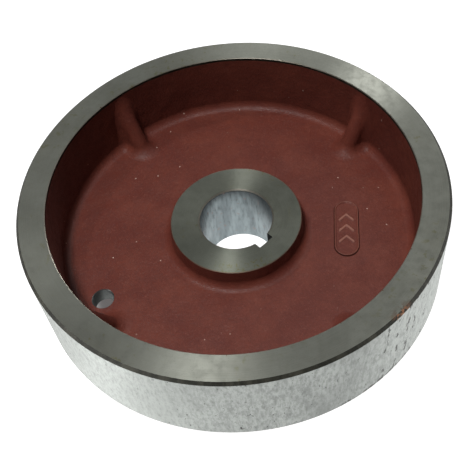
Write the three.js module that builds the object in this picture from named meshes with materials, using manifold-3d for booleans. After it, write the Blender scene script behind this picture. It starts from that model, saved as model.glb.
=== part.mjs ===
// A 12 inch cast-iron flywheel for a small stationary engine: a heavy rim, a thin web set towards
// its back, a long keyed hub, and four buttress ribs that tie the rim's wall to the web.
// It is one casting. Each member of it is a closed solid of its own here, face to face with the next.
// Millimetres. The origin is the centre of the hub's back face, and +Z runs along the bore towards
// the open, recessed side of the wheel.

import * as THREE from 'three';
import { ConvexGeometry } from 'three/addons/geometries/ConvexGeometry.js';
import { mergeVertices } from 'three/addons/utils/BufferGeometryUtils.js';
import Module from 'manifold-3d';

const wasm = await Module();
wasm.setup();

// Levels along the axis, up from the hub's back face.
const RIM_BACK_Z = 21.5;
const WEB_BACK_Z = 28.5;
const WEB_FRONT_Z = 41.5;
const HUB_FRONT_Z = 57.6;
const RIM_FRONT_Z = 94;

// Rim: a ring, turned outside and on both faces, cast inside.
const RIM_RADIUS = 152.4;
const RIM_MOUTH_RADIUS = 132;
const RIM_BACK_MOUTH_RADIUS = 131.7;
const FRONT_CHAMFER_WIDTH = 2;
const FRONT_CHAMFER_HEIGHT = 2.1;
const BACK_CHAMFER = 1.2;
const MOUTH_BREAK = 0.5;

// Web: a flat disc from hub to rim with a fillet in every corner, and one drilled hole.
const WEB_OUTER_RADIUS = 131.2;
const WEB_INNER_RADIUS = 49.4;
const FRONT_FILLET = 7;
const RIM_BACK_FILLET = 4.5;
const HUB_BACK_FILLET = 7;
const FRONT_FILLET_TOP_Z = WEB_FRONT_Z + FRONT_FILLET;
const RIM_BACK_FILLET_Z = WEB_BACK_Z - RIM_BACK_FILLET;
const HUB_BACK_FILLET_Z = WEB_BACK_Z - HUB_BACK_FILLET;
const HOLE_DIAMETER = 15.5;
const HOLE_CENTRE_RADIUS = 111.6;
const HOLE_ANGLE = -155;

// Hub: bored for a 2 1/8 inch shaft with a 1/2 inch key.
const BORE_DIAMETER = 53.98;
const BORE_CHAMFER = 1;
const KEYWAY_WIDTH = 12.7;
const KEYWAY_FLOOR_RADIUS = 32;
const KEYWAY_ANGLE = -51;
const HUB_FACE_RADIUS = 48.4;
const HUB_EDGE_BREAK = 0.5;

// Ribs: four tapered buttresses.
const RIB_COUNT = 4;
const FIRST_RIB_ANGLE = 37;
const RIB_CREST_RADIUS = 5;
const RIB_TOP_Z = RIM_FRONT_Z - 4.5;
const RIB_TOE_RADIUS = 108.5;
const RIB_WALL_HALF_WIDTH = 12.5;
const RIB_TOE_HALF_WIDTH = 5.5;
const RIB_GAP = 0.3;

// Cast badge: a raised stadium with a rim round it and three chevrons for the direction of turning.
const BADGE_LENGTH = 51;
const BADGE_WIDTH = 18.5;
const BADGE_CENTRE_RADIUS = 81.6;
const BADGE_ANGLE = -6;
const BADGE_TURN = -7.8;
const BADGE_PAD_HEIGHT = 0.5;
const BADGE_RELIEF_HEIGHT = 1.2;
const BADGE_BORDER = 1.4;
const CHEVRON_COUNT = 3;
const CHEVRON_PITCH = 10;
const CHEVRON_REACH = 5;
const CHEVRON_HALF_SPAN = 5;
const CHEVRON_STROKE = 2.6;

// How finely the round shapes are cut.
const TURNED_SEGMENTS = 80;
const FILLET_STEPS = 4;
const SMALL_ROUND_SEGMENTS = 24;

const machinedIron = () => new THREE.MeshStandardMaterial({
  color: 0x8b8d84,
  roughness: 0.42,
  metalness: 0.85,
});

const redOxidePrimer = () => new THREE.MeshStandardMaterial({
  color: 0x6a372d,
  roughness: 0.62,
  metalness: 0.0,
});

const radians = (degrees) => THREE.MathUtils.degToRad(degrees);

// A three.js geometry as a manifold solid, for cutting and joining.
function solid(geometry) {
  const bare = geometry.index ? geometry.clone() : mergeVertices(geometry.clone());
  bare.deleteAttribute('normal');
  bare.deleteAttribute('uv');
  const merged = mergeVertices(bare, 1e-3);
  return new wasm.Manifold(new wasm.Mesh({
    numProp: 3,
    vertProperties: new Float32Array(merged.attributes.position.array),
    triVerts: new Uint32Array(merged.index.array),
  }));
}

function geometryOf(body) {
  const mesh = body.getMesh();
  const geometry = new THREE.BufferGeometry();
  geometry.setAttribute('position', new THREE.BufferAttribute(mesh.vertProperties, 3));
  geometry.setIndex(new THREE.BufferAttribute(mesh.triVerts, 1));
  geometry.computeVertexNormals();
  return geometry;
}

function named(name, geometry, material) {
  const mesh = new THREE.Mesh(geometry, material);
  mesh.name = name;
  return mesh;
}

// Points on a quarter circle from startAngle to endAngle (degrees) round (centreR, centreZ).
function arc(centreR, centreZ, radius, startAngle, endAngle, steps = FILLET_STEPS) {
  return Array.from({ length: steps + 1 }, (_, i) => {
    const angle = radians(THREE.MathUtils.lerp(startAngle, endAngle, i / steps));
    return [centreR + radius * Math.cos(angle), centreZ + radius * Math.sin(angle)];
  });
}

// A closed outline of [radius, height] points, turned about +Z.
function turned(outline) {
  const points = [...outline, outline[0]].map(([radius, height]) => new THREE.Vector2(radius, height));
  return new THREE.LatheGeometry(points, TURNED_SEGMENTS).rotateX(Math.PI / 2);
}

function makeRim() {
  return named('rim', turned([
    [RIM_RADIUS - BACK_CHAMFER, RIM_BACK_Z],
    [RIM_RADIUS, RIM_BACK_Z + BACK_CHAMFER],
    [RIM_RADIUS, RIM_FRONT_Z - FRONT_CHAMFER_HEIGHT],
    [RIM_RADIUS - FRONT_CHAMFER_WIDTH, RIM_FRONT_Z],
    [RIM_MOUTH_RADIUS + MOUTH_BREAK, RIM_FRONT_Z],
    [RIM_MOUTH_RADIUS, RIM_FRONT_Z - MOUTH_BREAK],
    [WEB_OUTER_RADIUS, FRONT_FILLET_TOP_Z],
    [WEB_OUTER_RADIUS, RIM_BACK_FILLET_Z],
    [RIM_BACK_MOUTH_RADIUS, RIM_BACK_Z],
  ]), machinedIron());
}

function makeWeb() {
  const disc = solid(turned([
    ...arc(WEB_INNER_RADIUS + HUB_BACK_FILLET, HUB_BACK_FILLET_Z, HUB_BACK_FILLET, 180, 90),
    ...arc(WEB_OUTER_RADIUS - RIM_BACK_FILLET, RIM_BACK_FILLET_Z, RIM_BACK_FILLET, 90, 0),
    ...arc(WEB_OUTER_RADIUS - FRONT_FILLET, FRONT_FILLET_TOP_Z, FRONT_FILLET, 0, -90),
    ...arc(WEB_INNER_RADIUS + FRONT_FILLET, FRONT_FILLET_TOP_Z, FRONT_FILLET, 270, 180),
  ]));
  const drillLength = 3 * (WEB_FRONT_Z - WEB_BACK_Z);
  const drill = new THREE.CylinderGeometry(
    HOLE_DIAMETER / 2,
    HOLE_DIAMETER / 2,
    drillLength,
    SMALL_ROUND_SEGMENTS,
  );
  drill.rotateX(Math.PI / 2);
  drill.translate(
    HOLE_CENTRE_RADIUS * Math.cos(radians(HOLE_ANGLE)),
    HOLE_CENTRE_RADIUS * Math.sin(radians(HOLE_ANGLE)),
    (WEB_FRONT_Z + WEB_BACK_Z) / 2,
  );
  return named('web', geometryOf(disc.subtract(solid(drill))), redOxidePrimer());
}

function makeHub() {
  const bore = BORE_DIAMETER / 2;
  const body = solid(turned([
    [bore, BORE_CHAMFER],
    [bore + BORE_CHAMFER, 0],
    [HUB_FACE_RADIUS - HUB_EDGE_BREAK, 0],
    [HUB_FACE_RADIUS, HUB_EDGE_BREAK],
    [WEB_INNER_RADIUS, HUB_BACK_FILLET_Z],
    [WEB_INNER_RADIUS, FRONT_FILLET_TOP_Z],
    [HUB_FACE_RADIUS, HUB_FRONT_Z - HUB_EDGE_BREAK],
    [HUB_FACE_RADIUS - HUB_EDGE_BREAK, HUB_FRONT_Z],
    [bore + BORE_CHAMFER, HUB_FRONT_Z],
    [bore, HUB_FRONT_Z - BORE_CHAMFER],
  ]));
  const broach = new THREE.BoxGeometry(KEYWAY_FLOOR_RADIUS, KEYWAY_WIDTH, 2 * HUB_FRONT_Z);
  broach.translate(KEYWAY_FLOOR_RADIUS / 2, 0, HUB_FRONT_Z / 2);
  broach.rotateZ(radians(KEYWAY_ANGLE));
  return named('hub', geometryOf(body.subtract(solid(broach))), machinedIron());
}

// What the ribs are trimmed to: the rim's wall and the fillet at its foot, less the gap.
function wallTool() {
  return solid(turned([
    [RIM_RADIUS, WEB_BACK_Z],
    [RIM_RADIUS, RIM_FRONT_Z],
    [RIM_MOUTH_RADIUS - RIB_GAP, RIM_FRONT_Z],
    ...arc(WEB_OUTER_RADIUS - FRONT_FILLET, FRONT_FILLET_TOP_Z, FRONT_FILLET - RIB_GAP, 0, -90),
    [WEB_OUTER_RADIUS - FRONT_FILLET, WEB_BACK_Z],
  ]));
}

// One rib along +X: a rounded crest that slopes from just under the rim's mouth to its toe on the
// web, with flanks that spread towards the wall and the floor, trimmed to the rim's wall.
function ribGeometry() {
  const buriedRadius = RIM_MOUTH_RADIUS + 2;
  const crestCentreZ = RIB_TOP_Z - RIB_CREST_RADIUS;
  const points = [
    new THREE.Vector3(buriedRadius, -RIB_WALL_HALF_WIDTH, WEB_FRONT_Z),
    new THREE.Vector3(buriedRadius, RIB_WALL_HALF_WIDTH, WEB_FRONT_Z),
  ];
  for (const [y, z] of arc(0, crestCentreZ, RIB_CREST_RADIUS, 0, 180, 2 * FILLET_STEPS)) {
    points.push(new THREE.Vector3(buriedRadius, y, z));
  }
  for (const [y, x] of arc(0, 0, RIB_TOE_HALF_WIDTH, 0, 180, 2 * FILLET_STEPS)) {
    points.push(new THREE.Vector3(RIB_TOE_RADIUS + RIB_TOE_HALF_WIDTH - x, y, WEB_FRONT_Z));
  }
  const wedge = solid(new ConvexGeometry(points));
  return geometryOf(wedge.subtract(wallTool()));
}

function makeRibs() {
  const ribs = new THREE.Group();
  const geometry = ribGeometry();
  for (let i = 0; i < RIB_COUNT; i += 1) {
    const rib = named(`rib_${i + 1}`, geometry, redOxidePrimer());
    rib.rotation.z = radians(FIRST_RIB_ANGLE + (360 / RIB_COUNT) * i);
    ribs.add(rib);
  }
  return ribs;
}

// A stadium outline along Y, shrunk by an inset all round.
function stadium(inset) {
  const radius = BADGE_WIDTH / 2 - inset;
  const straight = (BADGE_LENGTH - BADGE_WIDTH) / 2;
  const outline = new THREE.Shape();
  outline.absarc(0, straight, radius, 0, Math.PI);
  outline.absarc(0, -straight, radius, Math.PI, 2 * Math.PI);
  outline.closePath();
  return outline;
}

function raised(outline, height) {
  const settings = { depth: height, bevelEnabled: false, curveSegments: SMALL_ROUND_SEGMENTS / 2 };
  return solid(new THREE.ExtrudeGeometry(outline, settings));
}

function chevron(centreY) {
  const tip = centreY + CHEVRON_REACH / 2;
  const tail = centreY - CHEVRON_REACH / 2;
  const outline = new THREE.Shape();
  outline.moveTo(0, tip);
  outline.lineTo(-CHEVRON_HALF_SPAN, tail);
  outline.lineTo(-CHEVRON_HALF_SPAN, tail - CHEVRON_STROKE);
  outline.lineTo(0, tip - CHEVRON_STROKE);
  outline.lineTo(CHEVRON_HALF_SPAN, tail - CHEVRON_STROKE);
  outline.lineTo(CHEVRON_HALF_SPAN, tail);
  outline.closePath();
  return outline;
}

function makeBadge() {
  const border = raised(stadium(0), BADGE_RELIEF_HEIGHT)
    .subtract(raised(stadium(BADGE_BORDER), 2 * BADGE_RELIEF_HEIGHT));
  let badge = raised(stadium(0), BADGE_PAD_HEIGHT).add(border);
  for (let i = 0; i < CHEVRON_COUNT; i += 1) {
    const centreY = CHEVRON_PITCH * (i - (CHEVRON_COUNT - 1) / 2) + CHEVRON_STROKE / 2;
    badge = badge.add(raised(chevron(centreY), BADGE_RELIEF_HEIGHT));
  }
  const mesh = named('cast_badge', geometryOf(badge), redOxidePrimer());
  const angle = radians(BADGE_ANGLE);
  mesh.position.set(
    BADGE_CENTRE_RADIUS * Math.cos(angle),
    BADGE_CENTRE_RADIUS * Math.sin(angle),
    WEB_FRONT_Z,
  );
  mesh.rotation.z = radians(BADGE_TURN);
  return mesh;
}

const flywheel = new THREE.Group();
flywheel.add(makeRim(), makeWeb(), makeHub(), makeRibs(), makeBadge());

export default flywheel;
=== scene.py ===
"""A 12 inch cast-iron flywheel for a small stationary engine, as it lies on a bench after turning.
One grey-iron casting: rim, web, hub, four ribs and a cast badge. The rim's outside, both rim faces,
both hub faces and the bore are turned bright. Everything else keeps its cast skin under primer."""

import math

import bpy
import numpy as np
from mathutils import Matrix, Vector


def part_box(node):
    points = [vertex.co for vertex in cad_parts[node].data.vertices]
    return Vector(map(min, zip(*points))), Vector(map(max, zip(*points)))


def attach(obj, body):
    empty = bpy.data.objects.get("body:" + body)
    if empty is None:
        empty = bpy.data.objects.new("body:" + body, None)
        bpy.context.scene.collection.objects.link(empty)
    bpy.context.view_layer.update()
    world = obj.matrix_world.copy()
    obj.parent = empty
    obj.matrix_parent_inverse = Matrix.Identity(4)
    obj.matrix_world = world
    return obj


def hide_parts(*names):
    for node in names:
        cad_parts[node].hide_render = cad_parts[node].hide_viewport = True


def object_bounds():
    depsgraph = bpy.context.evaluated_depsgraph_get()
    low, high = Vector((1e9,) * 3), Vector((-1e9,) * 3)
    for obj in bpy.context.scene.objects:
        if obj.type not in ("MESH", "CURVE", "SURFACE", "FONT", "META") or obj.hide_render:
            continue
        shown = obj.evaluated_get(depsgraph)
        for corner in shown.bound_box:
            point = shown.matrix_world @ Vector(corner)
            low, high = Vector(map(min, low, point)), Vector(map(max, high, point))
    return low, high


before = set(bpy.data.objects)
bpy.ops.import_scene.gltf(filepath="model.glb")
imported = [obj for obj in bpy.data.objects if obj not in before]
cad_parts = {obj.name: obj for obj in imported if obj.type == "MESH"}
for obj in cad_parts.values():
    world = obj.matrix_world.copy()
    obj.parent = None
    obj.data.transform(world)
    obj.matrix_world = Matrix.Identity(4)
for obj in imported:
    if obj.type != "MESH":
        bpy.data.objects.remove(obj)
cad_low, cad_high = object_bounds()
MM = 0.001

# ---------------------------------------------------------------------------------------------
# Rim. A heavy iron ring that carries most of the wheel's weight. The foundry leaves its inner
# wall rough, with a little draft, and the lathe turns its outside and both faces and breaks the
# edges. The outside shows the iron's own pores and the knocks of handling.

rim_low, rim_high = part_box("rim")
web_low, web_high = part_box("web")
RIM_RADIUS = rim_high.x
RIM_FRONT = rim_high.z
RIM_BACK = rim_low.z
WALL_FOOT_RADIUS = web_high.x
WALL_FOOT_FRONT = web_high.z
WALL_FOOT_BACK = 24.0 * MM
MOUTH_RADIUS = 132.0 * MM
BACK_MOUTH_RADIUS = 131.7 * MM
MOUTH_BREAK = 0.5 * MM
# PAINT_EDGE is also the depth of the painted shadow line under the mouth, where the primer starts.
PAINT_EDGE = 2.5 * MM
FRONT_CHAMFER_WIDTH = 2.0 * MM
FRONT_CHAMFER_HEIGHT = 2.1 * MM
BACK_CHAMFER = 1.2 * MM

COLUMNS = 720
WALL_ROWS = 32

# The cast skin is never quite true: it swells and dips by a tenth of a millimetre or so. The
# swell is a sum of long slow waves through space, so it runs on unbroken from member to member.
SWELL_WAVES = 26
SWELL_SLOPE = 0.0075
SWELL_LONGEST = 44 * MM
SWELL_SHORTEST = 9 * MM
swell_draw = np.random.default_rng(7)
swell_ways = swell_draw.normal(size=(SWELL_WAVES, 3))
swell_ways /= np.linalg.norm(swell_ways, axis=1)[:, None]
swell_lengths = np.geomspace(SWELL_LONGEST, SWELL_SHORTEST, SWELL_WAVES)
swell_vectors = swell_ways * (2 * math.pi / swell_lengths)[:, None]
swell_starts = swell_draw.uniform(0, 2 * math.pi, SWELL_WAVES)
swell_heights = SWELL_SLOPE * swell_lengths / (2 * math.pi)


def swell(points):
    """How far the cast skin stands off its true surface at these points."""
    return np.sin(points @ swell_vectors.T + swell_starts) @ swell_heights


def swell_gradient(points):
    waves = np.cos(points @ swell_vectors.T + swell_starts) * swell_heights
    return waves @ swell_vectors


def tilted_by_swell(points, facing):
    """The true surface's facing directions, turned by the skin's swell."""
    slope = swell_gradient(points)
    along = slope - (slope * facing).sum(1)[:, None] * facing
    tilted = facing - along
    return tilted / np.linalg.norm(tilted, axis=1)[:, None]


def radial(points):
    """Unit vectors straight out from the wheel's axis."""
    out = points * (1, 1, 0)
    return out / np.linalg.norm(out, axis=1)[:, None]


class Stretch:
    """One stretch of a turned section: its (radius, height) points and which way it faces.
    A round stretch faces to or from its centre, and a straight one faces one way."""

    def __init__(self, points, finish, cast=False, centre=None, hollow=False):
        self.points = np.array(points, float)
        self.finish = finish
        self.cast = cast
        self.centre = centre
        self.hollow = hollow

    def facing(self, points):
        out = radial(points)
        if self.centre is None:
            along = self.points[-1] - self.points[0]
            across, up = along[1], -along[0]
            size = math.hypot(across, up)
            across, up = across / size, up / size
            if abs(up) < 0.05:
                across, up = math.copysign(1, across), 0.0
            return out * across + np.array((0, 0, up))
        radius = np.linalg.norm(points[:, :2], axis=1)
        across = radius - self.centre[0]
        up = points[:, 2] - self.centre[1]
        size = np.hypot(across, up)
        sign = -1 if self.hollow else 1
        return sign * (out * (across / size)[:, None] + np.array((0, 0, 1)) * (up / size)[:, None])


def straight(start, end, finish, rows=1, cast=False):
    steps = np.linspace(0, 1, rows + 1)[:, None]
    return Stretch(np.array(start) + steps * (np.array(end) - np.array(start)), finish, cast)


def hollow_round(centre, radius, first, last, finish, rows=14):
    """A cast concave fillet from one angle to another, in degrees."""
    angles = np.radians(np.linspace(first, last, rows + 1))
    points = np.array(centre) + radius * np.column_stack((np.cos(angles), np.sin(angles)))
    return Stretch(points, finish, cast=True, centre=centre, hollow=True)


def turned(name, stretches, finishes):
    """A closed solid turned from a section given as stretches end to end, counter-clockwise.
    Each face remembers its stretch, so that settle_facing can shade it truly."""
    skin = [stretch.cast for stretch in stretches for _ in stretch.points[:-1]]
    ring_count = len(skin)
    for i, stretch in enumerate(stretches):
        if stretch.cast:
            after = sum(len(s.points) - 1 for s in stretches[: i + 1]) % ring_count
            skin[after] = True
    angle = np.linspace(0, 2 * math.pi, COLUMNS, endpoint=False)
    around = np.column_stack((np.cos(angle), np.sin(angle), np.zeros(COLUMNS)))
    points = np.zeros((ring_count, COLUMNS, 3))
    ring = 0
    for i, stretch in enumerate(stretches):
        before = stretches[i - 1]
        for k, (radius, height) in enumerate(stretch.points[:-1]):
            base = around * radius + np.array((0, 0, height))
            if skin[ring]:
                owner = stretch if stretch.cast else before
                at_edge = k == 0 and stretch.cast != before.cast
                facing = owner.facing(base)
                if at_edge:
                    facing = radial(base) * np.sign((facing * radial(base)).sum(1))[:, None]
                base = base + facing * swell(base)[:, None]
            points[ring] = base
            ring += 1
    here = np.arange(COLUMNS)
    there = (here + 1) % COLUMNS
    faces, stretch_of, finish_of = [], [], []
    ring = 0
    for i, stretch in enumerate(stretches):
        for _ in stretch.points[:-1]:
            low, high = ring * COLUMNS, ((ring + 1) % ring_count) * COLUMNS
            faces.append(np.column_stack((low + here, low + there, high + there, high + here)))
            stretch_of += [i] * COLUMNS
            finish_of += [stretch.finish] * COLUMNS
            ring += 1
    mesh = bpy.data.meshes.new(name)
    mesh.from_pydata(points.reshape(-1, 3), [], np.concatenate(faces).tolist())
    mesh.attributes.new("stretch", "INT", "FACE").data.foreach_set("value", stretch_of)
    mesh.polygons.foreach_set("material_index", finish_of)
    for finish in finishes:
        mesh.materials.append(finish)
    piece = bpy.data.objects.new(name, mesh)
    bpy.context.scene.collection.objects.link(piece)
    return piece


def settle_facing(piece, surfaces):
    """Gives every corner of every face the facing of the true surface it lies on, so the
    members shade as one casting and the turned faces stay crisp."""
    mesh = piece.data
    corner_count = len(mesh.loops)
    corner_point = np.zeros(corner_count, np.int32)
    mesh.loops.foreach_get("vertex_index", corner_point)
    points = np.zeros(len(mesh.vertices) * 3)
    mesh.vertices.foreach_get("co", points)
    points = points.reshape(-1, 3)[corner_point]
    stretch_of = np.zeros(len(mesh.polygons), np.int32)
    mesh.attributes["stretch"].data.foreach_get("value", stretch_of)
    corners = np.zeros(len(mesh.polygons), np.int32)
    mesh.polygons.foreach_get("loop_total", corners)
    stretch_of = np.repeat(stretch_of, corners)
    facing = np.zeros((corner_count, 3))
    for i, surface in enumerate(surfaces):
        mine = stretch_of == i
        if mine.any():
            facing[mine] = surface.facing(points[mine])
            if surface.cast:
                facing[mine] = tilted_by_swell(points[mine], facing[mine])
    mesh.polygons.foreach_set("use_smooth", [True] * len(mesh.polygons))
    mesh.normals_split_custom_set(facing)
    mesh.update()


class Shader:
    """One finish: a Principled surface, and the noises and ramps that feed it, laid out by the
    place on the wheel."""

    def __init__(self, name):
        self.material = bpy.data.materials.new(name)
        self.material.use_nodes = True
        self.tree = self.material.node_tree
        self.skin = self.tree.nodes["Principled BSDF"]
        self.place = self.add("TexCoord").outputs["Object"]

    def add(self, kind, **values):
        node = self.tree.nodes.new("ShaderNode" + kind)
        for key, value in values.items():
            setattr(node, key, value)
        return node

    def feed(self, node, **inputs):
        """Sets or links a node's inputs, by name with _ for a space, or in_0, in_1 by place."""
        for key, value in inputs.items():
            slot = int(key[3:]) if key.startswith("in_") else key.replace("_", " ")
            if isinstance(value, bpy.types.NodeSocket):
                self.tree.links.new(value, node.inputs[slot])
            else:
                node.inputs[slot].default_value = value
        return node

    def noise(self, scale, detail=2.0, roughness=0.5, place=None, **kind):
        node = self.add("TexNoise", **kind)
        where = {"Vector": place or self.place} if not kind else {"W": place}
        self.feed(node, Scale=scale, Detail=detail, Roughness=roughness, **where)
        return node.outputs["Fac"]

    def math(self, operation, first, second=0.0):
        node = self.add("Math", operation=operation)
        return self.feed(node, in_0=first, in_1=second).outputs[0]

    def ramp(self, value, low, high, to_low=0.0, to_high=1.0):
        """Takes low..high to to_low..to_high, smoothly, and holds beyond them."""
        node = self.add("MapRange", interpolation_type="SMOOTHSTEP")
        self.feed(node, Value=value, From_Min=low, From_Max=high, To_Min=to_low, To_Max=to_high)
        return node.outputs[0]

    def mix(self, amount, first, second):
        node = self.add("Mix", data_type="RGBA")
        self.feed(node, in_0=amount, in_6=first, in_7=second)
        return node.outputs[2]

    def split(self, vector=None):
        """The vector's three parts, or the place's if no vector is given."""
        return self.feed(self.add("SeparateXYZ"), Vector=vector or self.place).outputs

    def stretched_up(self, squash):
        """The place with its height squashed, so that a noise runs long along the axis."""
        node = self.add("VectorMath", operation="MULTIPLY")
        return self.feed(node, in_0=self.place, in_1=(1, 1, squash)).outputs[0]

    def length(self, x, y):
        both = self.math("ADD", self.math("MULTIPLY", x, x), self.math("MULTIPLY", y, y))
        return self.math("SQRT", both)

    def bump(self, height, strength, distance, under=None):
        node = self.add("Bump")
        self.feed(node, Strength=strength, Distance=distance, Height=height)
        if under:
            self.feed(node, Normal=under)
        return node.outputs["Normal"]


def red_oxide_primer():
    """Red oxide primer brushed over the sand-cast skin: satin, grainy, with painted shade darkening
    corners and painted lighter tops on relief, for rubbed paint and a painted highlight.
    """
    s = Shader("red_oxide_primer")
    broad = s.noise(38, 3)
    mottle = s.noise(190, 4, 0.6)
    grain = s.noise(1150, 3, 0.65)
    pebble = s.noise(430, 2)
    colour = s.mix(s.ramp(broad, 0.3, 0.7), PRIMER_DEEP, PRIMER_FRESH)
    colour = s.mix(s.ramp(mottle, 0.35, 0.7, 0.0, 0.35), colour, PRIMER_SHADE)
    colour = s.mix(s.ramp(grain, 0.45, 0.75, 0.0, 0.4), colour, PRIMER_GRAIN)
    sand = s.noise(640, 2, 0.7)
    colour = s.mix(s.ramp(sand, 0.56, 0.74, 0.0, 0.55), colour, PRIMER_GRAIN)
    colour = s.mix(s.ramp(sand, 0.26, 0.44, 0.5, 0.0), colour, PRIMER_SHADE)
    cells = s.add("TexVoronoi", feature="F1")
    s.feed(cells, Vector=s.place, Scale=170, Randomness=1.0)
    rare = s.ramp(s.split(cells.outputs["Color"])[0], 0.87, 0.92)
    speck = s.math("MULTIPLY", s.ramp(cells.outputs["Distance"], 0.06, 0.12, 1, 0), rare)
    colour = s.mix(speck, colour, PRIMER_SPECK)
    # Painted shade: darkens the paint in the corner round the badge's edge and beside its chevrons.
    painted_corner_shade = s.add("Attribute", attribute_name="painted_corner_shade").outputs["Fac"]
    colour = s.mix(s.math("MULTIPLY", painted_corner_shade, 0.9), colour, PAINTED_SHADE)
    # Painted highlight and rubbed paint: lightens the raised tops.
    rubbed_and_highlit = s.add("Attribute", attribute_name="rubbed_and_highlit").outputs["Fac"]
    colour = s.mix(s.math("MULTIPLY", rubbed_and_highlit, 0.75), colour, PRIMER_RUBBED_AND_HIGHLIT)
    skin = s.bump(grain, 0.42, 0.35 * MM)
    skin = s.bump(sand, 0.40, 0.5 * MM, skin)
    skin = s.bump(pebble, 0.30, 0.7 * MM, skin)
    s.feed(s.skin, Base_Color=colour, Normal=skin, Specular_IOR_Level=0.42)
    s.feed(s.skin, Roughness=s.ramp(mottle, 0.3, 0.7, 0.38, 0.52))
    return s.material


PRIMER_DEEP = (0.096, 0.0215, 0.0150, 1)
PRIMER_FRESH = (0.126, 0.0310, 0.0200, 1)
PRIMER_SHADE = (0.072, 0.0190, 0.0140, 1)
PRIMER_GRAIN = (0.165, 0.0540, 0.0380, 1)
PRIMER_SPECK = (0.50, 0.36, 0.30, 1)
# Lighter paint on raised tops: rubbed paint and a painted highlight.
PRIMER_RUBBED_AND_HIGHLIT = (0.29, 0.135, 0.10, 1)
# The colour of the painted shade in corners.
PAINTED_SHADE = (0.026, 0.005, 0.003, 1)
primer = red_oxide_primer()


def rust_bloom(s, turn, spread):
    """Where one patch of rust has crept over the front edge."""
    from_bloom = s.math("ABSOLUTE", s.math("SUBTRACT", turn, RUST_ANGLE))
    patches = s.ramp(s.noise(420, 3), 0.44, 0.54)
    return s.math("MULTIPLY", s.ramp(from_bloom, 0.01, spread, 1, 0), patches)


def turned_iron(name, light, dark, polish, stain=0.5, smudge_angle=None):
    """Grey iron off the lathe: fine rings of tool marks, soft clouds, small olive oil spots."""
    s = Shader(name)
    x, y, z = s.split()
    ring = s.math("ADD", s.length(x, y), z)
    cuts = s.noise(1500, 2, 0.6, place=ring, noise_dimensions="1D")
    bands = s.noise(240, 2, 0.5, place=ring, noise_dimensions="1D")
    cloud = s.noise(30, 4, 0.6)
    mottle = s.noise(150, 4, 0.62)
    grain = s.noise(1500, 2, 0.6)
    colour = s.mix(s.ramp(cloud, 0.3, 0.7, 0.25, 0.75), dark, light)
    colour = s.mix(s.ramp(mottle, 0.42, 0.72, 0.0, 0.3), colour, dark)
    colour = s.mix(s.ramp(cuts, 0.35, 0.7, 0.0, 0.25), colour, light)
    colour = s.mix(s.ramp(grain, 0.55, 0.8, 0.0, 0.35), colour, FACE_GRAIN)
    oil = s.noise(13, 3, 0.6)
    drops = s.noise(210, 3, 0.6)
    stained = s.math("MULTIPLY", s.ramp(oil, 0.50, 0.62), s.ramp(drops, 0.58, 0.66))
    colour = s.mix(s.math("MULTIPLY", stained, stain), colour, OLIVE_OIL)
    colour = s.mix(s.ramp(oil, 0.5, 0.7, 0.0, 0.35 * stain), colour, OIL_FILM)
    turn = s.math("ARCTAN2", y, x)
    if smudge_angle is not None:
        from_smudge = s.math("ABSOLUTE", s.math("SUBTRACT", turn, smudge_angle))
        dabs = s.ramp(s.noise(420, 4, 0.7), 0.5, 0.62)
        smudged = s.math("MULTIPLY", s.ramp(from_smudge, 0.25, 0.6, 1, 0), dabs)
        smudged = s.math("MULTIPLY", smudged, s.ramp(s.length(x, y), 37 * MM, 43 * MM, 0, 0.75))
        colour = s.mix(smudged, colour, OLIVE_OIL)
    spots = s.noise(34, 2, 0.6, place=turn, noise_dimensions="1D")
    at_mouth = s.ramp(s.length(x, y), MOUTH_RADIUS + 0.3 * MM, MOUTH_RADIUS + 1.8 * MM, 1, 0)
    rust = s.math("MULTIPLY", s.ramp(spots, 0.74, 0.79), at_mouth)
    off_the_hub = s.ramp(s.length(x, y), MOUTH_RADIUS - 30 * MM, MOUTH_RADIUS - 20 * MM)
    colour = s.mix(s.math("MULTIPLY", rust, off_the_hub), colour, RUST)
    at_edge = s.ramp(s.length(x, y), RIM_RADIUS - 7 * MM, RIM_RADIUS - 2.5 * MM, 0, 0.55)
    colour = s.mix(s.math("MULTIPLY", rust_bloom(s, turn, 0.09), at_edge), colour, RUST)
    skin = s.bump(cuts, 0.10, 0.12 * MM)
    skin = s.bump(bands, 0.06, 0.25 * MM, skin)
    s.feed(s.skin, Base_Color=colour, Normal=skin, Metallic=0.85)
    s.feed(s.skin, Roughness=s.ramp(mottle, 0.3, 0.75, polish, polish + 0.12))
    s.feed(s.skin, Anisotropic=0.85, Anisotropic_Rotation=0.25)
    s.feed(s.skin, Tangent=s.add("Tangent", direction_type="RADIAL", axis="Z").outputs[0])
    return s.material


def ragged_row(s, across, middle, half_width, along, scale, seed):
    """A wavering band where across is near middle, strong in some stretches and gone in others."""
    along = s.math("ADD", along, 3.7 * seed)
    waver = s.math("SUBTRACT", s.noise(scale * 0.5, 2, 0.5, place=along, noise_dimensions="1D"), 0.5)
    waver = s.math("MULTIPLY", waver, 2.5 * half_width)
    from_row = s.math("ABSOLUTE", s.math("SUBTRACT", s.math("ADD", across, waver), middle))
    stretches = s.ramp(s.noise(scale, 2, 0.6, place=along, noise_dimensions="1D"), 0.38, 0.58)
    return s.math("MULTIPLY", s.ramp(from_row, 0.2 * half_width, half_width, 1, 0), stretches)


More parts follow.
